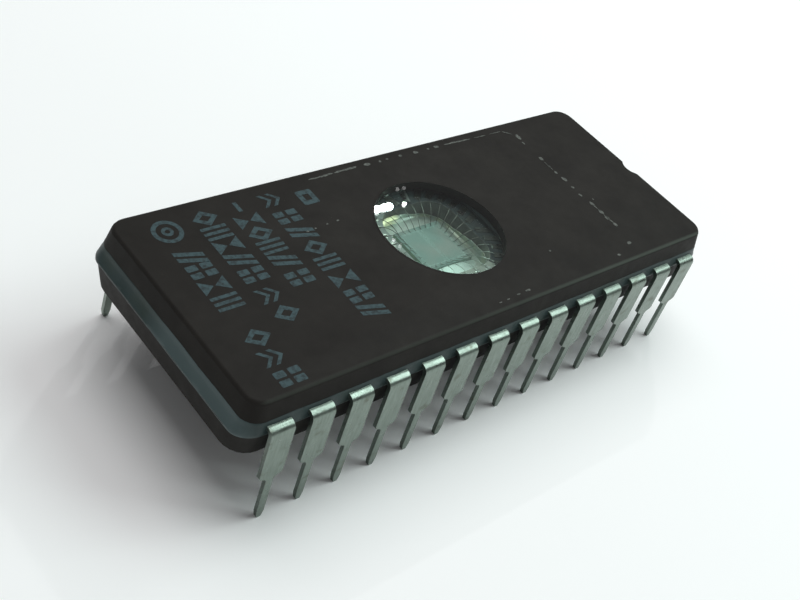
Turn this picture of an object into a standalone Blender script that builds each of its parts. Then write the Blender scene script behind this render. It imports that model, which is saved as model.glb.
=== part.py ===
"""Windowed ceramic dual in-line memory chip, a pressed ceramic package fused shut with glass.

Units are metres and +Z is up. The origin is on the ground, below the middle of the package.
+X points to the end with the index notch, and the two rows of leads run along X.
Leads are numbered as on the real package: 1 starts at the notch on the +Y side, and the count
comes back along the -Y side.
"""

import math

import bmesh
import bpy
from mathutils import Vector

# Lead frame
LEADS_PER_SIDE = 14
LEAD_PITCH = 0.00254
ROW_SPACING = 0.01524
LEAD_THICKNESS = 0.00025
SHOULDER_WIDTH = 0.00145
SHOULDER_DROP = 0.00347
SHOULDER_TAPER = 0.0004
TIP_WIDTH = 0.00047
TIP_LENGTH = 0.00318
TIP_POINT_WIDTH = 0.00026
TIP_POINT_LENGTH = 0.00045
BEND_RADIUS = 0.00032
LEAD_SPLAY_DEGREES = 2.0
STRAIGHT_OUT = 0.00002

# Fingers inside the seal
ROOT_LENGTH = 0.0008
FLARE_LENGTH = 0.0006
KNEE_WIDTH = 0.00062
FINGER_WIDTH = 0.00038
FINGER_SETBACK = 0.00025

# Ceramic base and lid
END_MARGIN = 0.00224
BASE_THICKNESS = 0.00186
BASE_CORNER_RADIUS = 0.0014
LID_THICKNESS = 0.00126
LID_END_INSET = 0.0004
LID_SIDE_INSET = 0.00012
LID_CORNER_RADIUS = 0.001
WALL_DRAFT_DEGREES = 9.5
PRESSED_EDGE_RADIUS = 0.00018
NOTCH_RADIUS = 0.0009
NOTCH_DEPTH = 0.00065

# Glass seal
SEAL_THICKNESS = 0.00072
SEAL_FOOT_INSET = 0.00005
SEAL_HEAD_INSET = 0.00002
BOND_SHELF = 0.0011
SHELF_BELOW_FINGERS = 0.00003

# Die cavity and what lies in it
CAVITY_LENGTH = 0.0054
CAVITY_WIDTH = 0.006
CAVITY_DEPTH = 0.00072
CAVITY_CORNER_RADIUS = 0.0016
FLOOR_METAL_THICKNESS = 0.00003
FLOOR_METAL_INSET = 0.00012
DIE_LENGTH = 0.00354
DIE_WIDTH = 0.0034
DIE_THICKNESS = 0.0004
DIE_ATTACH_THICKNESS = 0.00005
DIE_ATTACH_MARGIN = 0.00013
DIE_ATTACH_CORNER = 0.0002

# Bond wires
WIRE_DIAMETER = 0.00004
WIRE_FOOT_LENGTH = 0.00014
WIRE_FOOT_BITE = 0.00001
WIRE_FINGER_SETBACK = 0.00012
WIRE_DIE_INSET = 0.00014
WIRE_LENS_CLEARANCE = 0.00006
WIRE_RISE_SHARE = 0.35
WIRE_RISE_PULL = 1.5
WIRE_FALL_SHARE = 0.2
WIRE_FALL_PULL = 0.6
PAD_RING_CORNER = 0.0002

# Window
LENS_RADIUS = 0.00405
LENS_PROUD = 0.00005
LENS_EDGE_RADIUS = 0.00014
BORE_CHAMFER = 0.0001

# The fused joints are drawn with this gap, because the whole seal is under a millimetre thick
SEAT_GAP = 0.00002
CUT_OVERRUN = 0.001

# How far round (share of the taper's length, share of the step in width) the shoulder runs in
SHOULDER_CURVE = ((0.0, 0.0), (0.3, 0.15), (0.7, 0.85), (1.0, 1.0))

# Facets
CORNER_SEGMENTS = 6
EDGE_SEGMENTS = 2
BEND_SEGMENTS = 5
SEAL_SEGMENTS = 3
LENS_STEPS = 48
LENS_EDGE_SEGMENTS = 3
NOTCH_SIDES = 24
WIRE_POINTS = 6
MERGE_DISTANCE = 0.000001
CAP_WELD_DISTANCE = 0.0000001

LEAD_COUNT = 2 * LEADS_PER_SIDE
BEND_ANGLE = math.radians(90 - LEAD_SPLAY_DEGREES)
BEND_ARC = BEND_RADIUS * BEND_ANGLE
BEND_START = ROW_SPACING / 2 - BEND_RADIUS
DRAFT_SLOPE = math.tan(math.radians(WALL_DRAFT_DEGREES))

# Levels
LEAD_PLANE = SHOULDER_DROP + TIP_LENGTH + LEAD_THICKNESS / 2 * math.cos(BEND_ANGLE)
FINGER_TOP = LEAD_PLANE + LEAD_THICKNESS / 2
BASE_TOP = LEAD_PLANE - SEAL_THICKNESS / 2
BASE_UNDERSIDE = BASE_TOP - BASE_THICKNESS
LID_UNDERSIDE = LEAD_PLANE + SEAL_THICKNESS / 2
LID_TOP = LID_UNDERSIDE + LID_THICKNESS
CAVITY_FLOOR = BASE_TOP - CAVITY_DEPTH
FLOOR_METAL_BOTTOM = CAVITY_FLOOR + SEAT_GAP
DIE_ATTACH_BOTTOM = FLOOR_METAL_BOTTOM + FLOOR_METAL_THICKNESS + SEAT_GAP
DIE_BOTTOM = DIE_ATTACH_BOTTOM + DIE_ATTACH_THICKNESS + SEAT_GAP
DIE_TOP = DIE_BOTTOM + DIE_THICKNESS

# Plan sizes of the base and the lid where they meet the glass
BASE_HALF_LENGTH = (LEADS_PER_SIDE - 1) * LEAD_PITCH / 2 + END_MARGIN
BASE_HALF_WIDTH = BEND_START - STRAIGHT_OUT
LID_HALF_LENGTH = BASE_HALF_LENGTH - LID_END_INSET
LID_HALF_WIDTH = BASE_HALF_WIDTH - LID_SIDE_INSET


def clear_scene():
    """Starts from an empty scene."""
    for item in list(bpy.data.objects):
        bpy.data.objects.remove(item, do_unlink=True)


def make_collection(name):
    """A new collection linked to the scene."""
    collection = bpy.data.collections.new(name)
    bpy.context.scene.collection.children.link(collection)
    return collection


def make_material(name, color, roughness, metallic=0.0, transmission=0.0):
    """A Principled material with one colour, roughness and metallic value."""
    material = bpy.data.materials.new(name)
    material.use_nodes = True
    shader = material.node_tree.nodes["Principled BSDF"]
    shader.inputs["Base Color"].default_value = (*color, 1.0)
    shader.inputs["Roughness"].default_value = roughness
    shader.inputs["Metallic"].default_value = metallic
    shader.inputs["Transmission Weight"].default_value = transmission
    return material


def add_object(name, mesh, collection, material=None):
    """Links a mesh as a named object. Without a material it is a cutter or a guide."""
    item = bpy.data.objects.new(name, mesh)
    collection.objects.link(item)
    if material is None:
        item.hide_render = True
        item.display_type = "WIRE"
    else:
        item.data.materials.append(material)
    return item


def mesh_from(name, bm):
    """Turns a bmesh into a mesh with consistent normals."""
    bmesh.ops.recalc_face_normals(bm, faces=bm.faces)
    mesh = bpy.data.meshes.new(name)
    bm.to_mesh(mesh)
    bm.free()
    return mesh


def cut(target, cutter, operation="DIFFERENCE"):
    """Adds an exact Boolean with one other object."""
    modifier = target.modifiers.new(f"{operation.lower()}_{cutter.name}", "BOOLEAN")
    modifier.operation = operation
    modifier.object = cutter
    modifier.solver = "EXACT"


def rounded_outline(half_x, half_y, radius):
    """Points of a rectangle with rounded corners, counter-clockwise from the +X side."""
    points = []
    for turn, (sign_x, sign_y) in enumerate(((1, 1), (-1, 1), (-1, -1), (1, -1))):
        centre = Vector((sign_x * (half_x - radius), sign_y * (half_y - radius)))
        for step in range(CORNER_SEGMENTS + 1):
            angle = math.pi / 2 * (turn + step / CORNER_SEGMENTS)
            points.append(centre + radius * Vector((math.cos(angle), math.sin(angle))))
    return points


def loft(name, sections):
    """A closed solid through rounded rectangles, each (z, half length, half width, radius)."""
    bm = bmesh.new()
    rings = []
    for z, half_x, half_y, radius in sections:
        outline = rounded_outline(half_x, half_y, radius)
        rings.append([bm.verts.new((point.x, point.y, z)) for point in outline])
    for lower, upper in zip(rings, rings[1:]):
        for index, vertex in enumerate(lower):
            after = (index + 1) % len(lower)
            bm.faces.new((vertex, lower[after], upper[after], upper[index]))
    bm.faces.new(list(reversed(rings[0])))
    bm.faces.new(rings[-1])
    return mesh_from(name, bm)


def edge_rounding(radius, segments):
    """Pairs (drop below the face, inset from the wall) along a rounded edge, wall first."""
    pairs = []
    for step in range(segments + 1):
        angle = math.pi / 2 * step / segments
        pairs.append((radius * (1 - math.sin(angle)), radius * (1 - math.cos(angle))))
    return pairs


def pressed_block(name, seal_z, face_z, half_x, half_y, radius):
    """A pressed ceramic plate: widest at its seal face, drafted walls, rounded outer edge."""
    way = 1 if face_z > seal_z else -1
    sections = [(seal_z, half_x, half_y, radius)]
    for drop, inset in edge_rounding(PRESSED_EDGE_RADIUS, EDGE_SEGMENTS):
        z = face_z - way * drop
        shrink = abs(z - seal_z) * DRAFT_SLOPE + inset
        sections.append((z, half_x - shrink, half_y - shrink, radius - inset))
    return loft(name, sections if way > 0 else sections[::-1])


def turned(name, profile, collection, material=None):
    """A solid of revolution about Z from a profile of (radius, z), from top to bottom."""
    mesh = bpy.data.meshes.new(name)
    vertices = [(radius, 0.0, z) for radius, z in profile]
    mesh.from_pydata(vertices, [(i, i + 1) for i in range(len(vertices) - 1)], [])
    item = add_object(name, mesh, collection, material)
    screw = item.modifiers.new("turn", "SCREW")
    screw.axis = "Z"
    screw.angle = 2 * math.pi
    screw.steps = screw.render_steps = LENS_STEPS
    screw.use_merge_vertices = True
    screw.merge_threshold = MERGE_DISTANCE
    screw.use_smooth_shade = True
    return item


def ring_point(half_x, half_y, radius, share):
    """The point at a share of the way from +X to -X round the +Y half of a rounded rectangle."""
    side_x = half_y - radius
    arc = radius * math.pi / 2
    side_y = half_x - radius
    quarter = side_x + arc + side_y
    travel = quarter * 2 * min(share, 1 - share)
    if travel < side_x:
        point = Vector((half_x, travel))
    elif travel < side_x + arc:
        angle = (travel - side_x) / radius
        point = Vector((side_y + radius * math.cos(angle), side_x + radius * math.sin(angle)))
    else:
        point = Vector((side_y - (travel - side_x - arc), half_y))
    if share > 0.5:
        point.x = -point.x
    return point


def column_of(number):
    """(column counted from the notch, side) of a lead number."""
    if number <= LEADS_PER_SIDE:
        return number - 1, 1
    return LEAD_COUNT - number, -1


def column_x(column):
    """X of a column of leads."""
    return ((LEADS_PER_SIDE - 1) / 2 - column) * LEAD_PITCH


def finger_line(column):
    """The finger's tip, its knee and its direction from tip to knee, on the +Y side."""
    share = (column + 0.5) / LEADS_PER_SIDE
    reach_x = CAVITY_LENGTH / 2 + FINGER_SETBACK
    reach_y = CAVITY_WIDTH / 2 + FINGER_SETBACK
    tip = ring_point(reach_x, reach_y, CAVITY_CORNER_RADIUS + FINGER_SETBACK, share)
    knee = Vector((column_x(column), BEND_START - ROOT_LENGTH - FLARE_LENGTH))
    return tip, knee, (knee - tip).normalized()


def flat_rows(column, spare, outer_y):
    """Cross rows (left, right) of a lead's flat part on the +Y side, grown by spare all round."""
    tip, knee, along = finger_line(column)
    across = Vector((along.y, -along.x))
    outward = Vector((0, 1))
    mitre = (along + outward).normalized()
    mitre_across = Vector((mitre.y, -mitre.x)) / mitre.dot(along)
    x = column_x(column)
    rows = [
        (tip - along * spare, across, FINGER_WIDTH / 2),
        (knee, mitre_across, KNEE_WIDTH / 2),
        (Vector((x, BEND_START - ROOT_LENGTH)), Vector((1, 0)), SHOULDER_WIDTH / 2),
        (Vector((x, outer_y)), Vector((1, 0)), SHOULDER_WIDTH / 2),
    ]
    return [
        (centre - side * (half + spare), centre + side * (half + spare))
        for centre, side, half in rows
    ]


def formed_point(travel):
    """(y, z) of the lead's middle plane at a travel past the start of its bend."""
    turned_arc = min(travel, BEND_ARC)
    angle = turned_arc / BEND_RADIUS
    run = travel - turned_arc
    y = BEND_START + BEND_RADIUS * math.sin(angle) + run * math.cos(angle)
    z = LEAD_PLANE - BEND_RADIUS * (1 - math.cos(angle)) - run * math.sin(angle)
    return y, z


def travel_at_drop(drop):
    """Travel past the start of the bend at which the lead is this far below the lead plane."""
    below_bend = drop - BEND_RADIUS * (1 - math.cos(BEND_ANGLE))
    return BEND_ARC + below_bend / math.sin(BEND_ANGLE)


def standing_rows(column):
    """Rows (left, right) of the bend, the shoulder and the narrow tip, on the +Y side."""
    shoulder = SHOULDER_WIDTH / 2
    narrow = TIP_WIDTH / 2
    step_in = shoulder - narrow
    tip_drop = SHOULDER_DROP + TIP_LENGTH
    stations = [(BEND_ARC * i / BEND_SEGMENTS, shoulder) for i in range(1, BEND_SEGMENTS + 1)]
    for share, narrowing in SHOULDER_CURVE:
        drop = SHOULDER_DROP + SHOULDER_TAPER * (share - 0.5)
        stations.append((travel_at_drop(drop), shoulder - step_in * narrowing))
    stations.append((travel_at_drop(tip_drop - TIP_POINT_LENGTH), narrow))
    stations.append((travel_at_drop(tip_drop), TIP_POINT_WIDTH / 2))
    rows = []
    for travel, half in stations:
        y, z = formed_point(travel)
        x = column_x(column)
        rows.append((Vector((x - half, y, z)), Vector((x + half, y, z))))
    return rows


def add_strip(bm, rows):
    """Draws a strip of sheet through cross rows by extruding its first edge along them."""
    edge = bm.edges.new((bm.verts.new(rows[0][0]), bm.verts.new(rows[0][1])))
    left = edge.verts[0]
    for row in rows[1:]:
        grown = bmesh.ops.extrude_edge_only(bm, edges=[edge])["geom"]
        new_edge = next(item for item in grown if isinstance(item, bmesh.types.BMEdge)
                        and not any(end in edge.verts for end in item.verts))
        new_left = next(end for end in new_edge.verts
                        if any(link.other_vert(end) == left for link in end.link_edges))
        new_left.co = row[0]
        new_edge.other_vert(new_left).co = row[1]
        edge = new_edge
        left = new_left


def solidify(item, thickness):
    """Gives a sheet its thickness, half on each side."""
    modifier = item.modifiers.new("sheet_thickness", "SOLIDIFY")
    modifier.thickness = thickness
    modifier.offset = 0.0
    modifier.use_even_offset = True


def on_side(rows, side, z):
    """Lifts flat rows to a level and turns them to their side of the package."""
    return [tuple(Vector((point.x, side * point.y, z)) for point in row) for row in rows]


def add_wire(column, side, collection):
    """A bond wire from its foot on a finger to its foot on the die."""
    tip, knee, along = finger_line(column)
    radius = WIRE_DIAMETER / 2
    pad = ring_point(
        DIE_LENGTH / 2 - WIRE_DIE_INSET,
        DIE_WIDTH / 2 - WIRE_DIE_INSET,
        PAD_RING_CORNER,
        (column + 0.5) / LEADS_PER_SIDE,
    )
    foot = tip + along * WIRE_FINGER_SETBACK
    span = (foot - pad).length
    inward = (pad - foot).normalized()
    finger_z = FINGER_TOP + radius - WIRE_FOOT_BITE
    die_z = DIE_TOP + SEAT_GAP + radius
    top_z = LID_UNDERSIDE - WIRE_LENS_CLEARANCE - radius
    start = (foot, finger_z)
    rise = (foot + inward * span * WIRE_RISE_SHARE, finger_z + (top_z - finger_z) * WIRE_RISE_PULL)
    fall = (pad - inward * span * WIRE_FALL_SHARE, die_z + (finger_z - die_z) * WIRE_FALL_PULL)
    end = (pad, die_z)
    points = [(foot + along * WIRE_FOOT_LENGTH, finger_z)]
    for step in range(WIRE_POINTS + 1):
        share = step / WIRE_POINTS
        weights = (
            (1 - share) ** 3,
            3 * share * (1 - share) ** 2,
            3 * share ** 2 * (1 - share),
            share ** 3,
        )
        plan = Vector((0, 0))
        height = 0.0
        for weight, (point, level) in zip(weights, (start, rise, fall, end)):
            plan = plan + point * weight
            height += level * weight
        points.append((plan, height))
    points.append((pad + inward * WIRE_FOOT_LENGTH, die_z))

    curve = bpy.data.curves.new("bond_wire_route", "CURVE")
    curve.dimensions = "3D"
    curve.bevel_depth = radius
    curve.bevel_resolution = 1
    curve.use_fill_caps = True
    curve.render_resolution_u = 0
    spline = curve.splines.new("POLY")
    spline.points.add(len(points) - 1)
    for target, (plan, level) in zip(spline.points, points):
        target.co = (plan.x, side * plan.y, level, 1.0)
    guide = bpy.data.objects.new("bond_wire_route", curve)
    collection.objects.link(guide)
    evaluated = guide.evaluated_get(bpy.context.evaluated_depsgraph_get())
    mesh = bpy.data.meshes.new_from_object(evaluated)
    bpy.data.objects.remove(guide, do_unlink=True)
    bm = bmesh.new()
    bm.from_mesh(mesh)
    bmesh.ops.remove_doubles(bm, verts=bm.verts, dist=CAP_WELD_DISTANCE)
    mesh = mesh_from("bond_wire", bm)
    return add_object("bond_wire", mesh, collection)


def add_lead(number, collection, cutters, material):
    """One stamped and formed lead with its finger and its bond wire."""
    column, side = column_of(number)
    rows = on_side(flat_rows(column, 0.0, BEND_START), side, LEAD_PLANE)
    for row in standing_rows(column):
        rows.append(tuple(Vector((point.x, side * point.y, point.z)) for point in row))
    bm = bmesh.new()
    add_strip(bm, rows)
    lead = add_object(f"lead_{number:02d}", mesh_from("lead", bm), collection, material)
    solidify(lead, LEAD_THICKNESS)
    cut(lead, add_wire(column, side, cutters), "UNION")
    return lead


def add_channels(cutters):
    """The space that the lead frame takes up in the glass."""
    bm = bmesh.new()
    for number in range(1, LEAD_COUNT + 1):
        column, side = column_of(number)
        rows = flat_rows(column, SEAT_GAP, BASE_HALF_WIDTH + CUT_OVERRUN)
        add_strip(bm, on_side(rows, side, LEAD_PLANE))
    channels = add_object("lead_channels", mesh_from("lead_channels", bm), cutters)
    solidify(channels, LEAD_THICKNESS + 2 * SEAT_GAP)
    return channels


def add_notch_cutter(cutters):
    """The half-round index notch at the +X end."""
    height = LID_TOP - BASE_UNDERSIDE + 2 * CUT_OVERRUN
    bm = bmesh.new()
    bmesh.ops.create_cone(
        bm,
        cap_ends=True,
        segments=NOTCH_SIDES,
        radius1=NOTCH_RADIUS,
        radius2=NOTCH_RADIUS,
        depth=height,
    )
    notch = add_object("notch_cutter", mesh_from("notch_cutter", bm), cutters)
    centre_x = LID_HALF_LENGTH - NOTCH_DEPTH + NOTCH_RADIUS
    notch.location = (centre_x, 0.0, (LID_TOP + BASE_UNDERSIDE) / 2)
    return notch


def add_base(collection, cutters, notch, material):
    """The pressed base with its die cavity."""
    mesh = pressed_block(
        "ceramic_base", BASE_TOP, BASE_UNDERSIDE, BASE_HALF_LENGTH, BASE_HALF_WIDTH, BASE_CORNER_RADIUS
    )
    base = add_object("ceramic_base", mesh, collection, material)
    plan = (CAVITY_LENGTH / 2, CAVITY_WIDTH / 2, CAVITY_CORNER_RADIUS)
    cavity = loft("cavity_cutter", [(CAVITY_FLOOR, *plan), (BASE_TOP + CUT_OVERRUN, *plan)])
    cut(base, add_object("cavity_cutter", cavity, cutters))
    cut(base, notch)
    return base


def add_seal(collection, cutters, notch, material):
    """The fused glass: a concave wall outside, lead channels, and the opening over the cavity."""
    foot = BASE_TOP + SEAT_GAP
    head = LID_UNDERSIDE - SEAT_GAP
    foot_x = BASE_HALF_LENGTH - SEAL_FOOT_INSET
    foot_y = BASE_HALF_WIDTH - SEAL_FOOT_INSET
    head_x = LID_HALF_LENGTH - SEAL_HEAD_INSET
    head_y = LID_HALF_WIDTH - SEAL_HEAD_INSET
    sections = []
    for step in range(SEAL_SEGMENTS + 1):
        share = step / SEAL_SEGMENTS
        spread = 1 - math.sin(math.pi / 2 * share)
        sections.append(
            (
                foot + (head - foot) * share,
                head_x + (foot_x - head_x) * spread,
                head_y + (foot_y - head_y) * spread,
                LID_CORNER_RADIUS + (BASE_CORNER_RADIUS - LID_CORNER_RADIUS) * spread,
            )
        )
    seal = add_object("seal_glass", loft("seal_glass", sections), collection, material)
    cavity = (CAVITY_LENGTH / 2, CAVITY_WIDTH / 2, CAVITY_CORNER_RADIUS)
    shelf = tuple(size + BOND_SHELF for size in cavity)
    through = loft("seal_opening_cutter", [(foot - CUT_OVERRUN, *cavity), (head + CUT_OVERRUN, *cavity)])
    shelf_z = FINGER_TOP - SHELF_BELOW_FINGERS
    above = loft("bond_shelf_cutter", [(shelf_z, *shelf), (head + CUT_OVERRUN, *shelf)])
    cut(seal, add_object("seal_opening_cutter", through, cutters))
    cut(seal, add_object("bond_shelf_cutter", above, cutters))
    cut(seal, add_channels(cutters))
    cut(seal, notch)
    return seal


def add_lid(collection, cutters, notch, material):
    """The pressed lid with its notch and the bore for the window."""
    mesh = pressed_block(
        "ceramic_lid", LID_UNDERSIDE, LID_TOP, LID_HALF_LENGTH, LID_HALF_WIDTH, LID_CORNER_RADIUS
    )
    lid = add_object("ceramic_lid", mesh, collection, material)
    wall = LENS_RADIUS + SEAT_GAP
    mouth = wall + BORE_CHAMFER
    bore = turned(
        "window_bore_cutter",
        [
            (0.0, LID_TOP + BORE_CHAMFER),
            (mouth + BORE_CHAMFER, LID_TOP + BORE_CHAMFER),
            (wall, LID_TOP - BORE_CHAMFER),
            (wall, LID_UNDERSIDE - CUT_OVERRUN),
            (0.0, LID_UNDERSIDE - CUT_OVERRUN),
        ],
        cutters,
    )
    cut(lid, bore)
    cut(lid, notch)
    return lid


def add_lens(collection, material):
    """The round window, fused into the lid and standing just proud of it."""
    top = LID_TOP + LENS_PROUD
    profile = [(0.0, top)]
    for drop, inset in reversed(edge_rounding(LENS_EDGE_RADIUS, LENS_EDGE_SEGMENTS)):
        profile.append((LENS_RADIUS - inset, top - drop))
    profile.append((LENS_RADIUS, LID_UNDERSIDE))
    profile.append((0.0, LID_UNDERSIDE))
    return turned("window_lens", profile, collection, material)


def add_plate(name, collection, material, bottom, thickness, half_x, half_y, radius):
    """A thin flat layer with rounded corners."""
    plan = (half_x, half_y, radius)
    mesh = loft(name, [(bottom, *plan), (bottom + thickness, *plan)])
    return add_object(name, mesh, collection, material)


def add_die(collection, material):
    """The silicon die."""
    bm = bmesh.new()
    bmesh.ops.create_cube(bm, size=1.0)
    bmesh.ops.scale(bm, vec=(DIE_LENGTH, DIE_WIDTH, DIE_THICKNESS), verts=bm.verts)
    bmesh.ops.translate(bm, vec=(0.0, 0.0, DIE_BOTTOM + DIE_THICKNESS / 2), verts=bm.verts)
    return add_object("die", mesh_from("die", bm), collection, material)


def build():
    """Builds the whole chip."""
    clear_scene()
    parts = make_collection("eprom_chip")
    cutters = make_collection("cutters")
    ceramic = make_material("brown_ceramic", (0.028, 0.026, 0.025), 0.6)
    glass = make_material("seal_glass", (0.05, 0.065, 0.065), 0.25)
    window = make_material("window_glass", (0.9, 0.97, 0.95), 0.03, transmission=1.0)
    tin = make_material("tinned_lead", (0.5, 0.54, 0.52), 0.35, metallic=1.0)
    metal = make_material("cavity_metal", (0.62, 0.6, 0.5), 0.35, metallic=1.0)
    paste = make_material("die_attach", (0.35, 0.35, 0.34), 0.6, metallic=0.5)
    silicon = make_material("silicon", (0.2, 0.28, 0.27), 0.2, metallic=0.7)

    notch = add_notch_cutter(cutters)
    add_base(parts, cutters, notch, ceramic)
    add_plate(
        "cavity_floor_metal",
        parts,
        metal,
        FLOOR_METAL_BOTTOM,
        FLOOR_METAL_THICKNESS,
        CAVITY_LENGTH / 2 - FLOOR_METAL_INSET,
        CAVITY_WIDTH / 2 - FLOOR_METAL_INSET,
        CAVITY_CORNER_RADIUS - FLOOR_METAL_INSET,
    )
    add_plate(
        "die_attach",
        parts,
        paste,
        DIE_ATTACH_BOTTOM,
        DIE_ATTACH_THICKNESS,
        DIE_LENGTH / 2 + DIE_ATTACH_MARGIN,
        DIE_WIDTH / 2 + DIE_ATTACH_MARGIN,
        DIE_ATTACH_CORNER,
    )
    add_die(parts, silicon)
    add_seal(parts, cutters, notch, glass)
    for number in range(1, LEAD_COUNT + 1):
        add_lead(number, parts, cutters, tin)
    add_lid(parts, cutters, notch, ceramic)
    add_lens(parts, window)


build()
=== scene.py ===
"""Looks of the windowed ceramic memory chip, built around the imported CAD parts.

Everything is in metres in the row frame: +X towards the index notch, +Z up, leads on the floor.
"""

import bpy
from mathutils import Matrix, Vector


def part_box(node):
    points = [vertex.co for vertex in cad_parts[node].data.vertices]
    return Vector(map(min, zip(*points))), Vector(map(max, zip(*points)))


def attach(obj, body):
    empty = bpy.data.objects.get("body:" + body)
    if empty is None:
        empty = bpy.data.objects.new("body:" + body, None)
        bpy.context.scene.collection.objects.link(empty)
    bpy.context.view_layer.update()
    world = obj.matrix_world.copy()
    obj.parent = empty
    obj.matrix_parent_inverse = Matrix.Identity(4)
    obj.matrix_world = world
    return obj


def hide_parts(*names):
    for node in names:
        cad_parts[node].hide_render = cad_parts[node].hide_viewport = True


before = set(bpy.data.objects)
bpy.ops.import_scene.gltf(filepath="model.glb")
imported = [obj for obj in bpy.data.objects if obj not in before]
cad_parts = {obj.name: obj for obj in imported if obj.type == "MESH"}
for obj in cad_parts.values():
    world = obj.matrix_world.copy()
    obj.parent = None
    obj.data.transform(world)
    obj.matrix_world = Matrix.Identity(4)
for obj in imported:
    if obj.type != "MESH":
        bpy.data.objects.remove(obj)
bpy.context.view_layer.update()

import math
import random

import bmesh
import bpy
from mathutils import Matrix, Vector, noise

MM = 0.001
IMAGE_WIDTH = 800

# The photograph's camera, from a least-squares fit to the package's known pitches
CAMERA_EYE = Vector((-45.59, -32.08, 48.48)) * MM
CAMERA_FORWARD = Vector((0.6228, 0.4485, -0.6411)).normalized()
CAMERA_ROLL = math.radians(22.01)
CAMERA_FOCAL_PIXELS = 1169.1
CAMERA_NEAR = 1.0 * MM
CAMERA_FAR = 10.0
SENSOR_WIDTH = 36.0

# Levels, half sizes in plan and other sizes of the CAD parts
BASE_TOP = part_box("ceramic_base")[1].z
BASE_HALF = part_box("ceramic_base")[1].xy
LID_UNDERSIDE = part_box("ceramic_lid")[0].z
LID_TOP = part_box("ceramic_lid")[1].z
LID_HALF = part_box("ceramic_lid")[1].xy
LENS_LOW, LENS_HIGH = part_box("window_lens")
DIE_LOW, DIE_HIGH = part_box("die")
FLOOR_METAL_LOW, FLOOR_METAL_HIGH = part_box("cavity_floor_metal")
WALL_DRAFT = math.radians(9.5)
WALL_SLOPE = math.tan(WALL_DRAFT)
LID_CORNER = 1.0 * MM
FLOOR_METAL_CORNER = 1.48 * MM
FLOOR_METAL_SETBACK = 0.12 * MM
NOTCH_CLEAR = 1.0 * MM
LEAD_PITCH = 2.54 * MM
LEADS = [f"lead_{number:02d}" for number in range(1, 29)]
BOND_SHELF = (BASE_TOP + LID_UNDERSIDE) / 2 + 0.095 * MM

# How the CAD parts are dressed
CERAMIC_EDGE = 0.035 * MM
LEAD_EDGE = 0.03 * MM
JOIN_DISTANCE = 0.0005 * MM
FLAT_ANGLE = math.radians(1)
SHARP_ANGLE = math.radians(40)
# A lead's faces this near to the middle are its finger, and the smaller ones its bond wire
FINGER_REACH = LENS_HIGH.x + 0.3 * MM
WIRE_FACE = 0.02 * MM * MM

# Corners of a rectangle, counter-clockwise from +X +Y
QUADRANTS = ((1, 1), (-1, 1), (-1, -1), (1, -1))

# The range that a noise value hardly leaves
NOISE_LOW = 0.3
NOISE_HIGH = 0.7


# Node helpers


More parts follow.
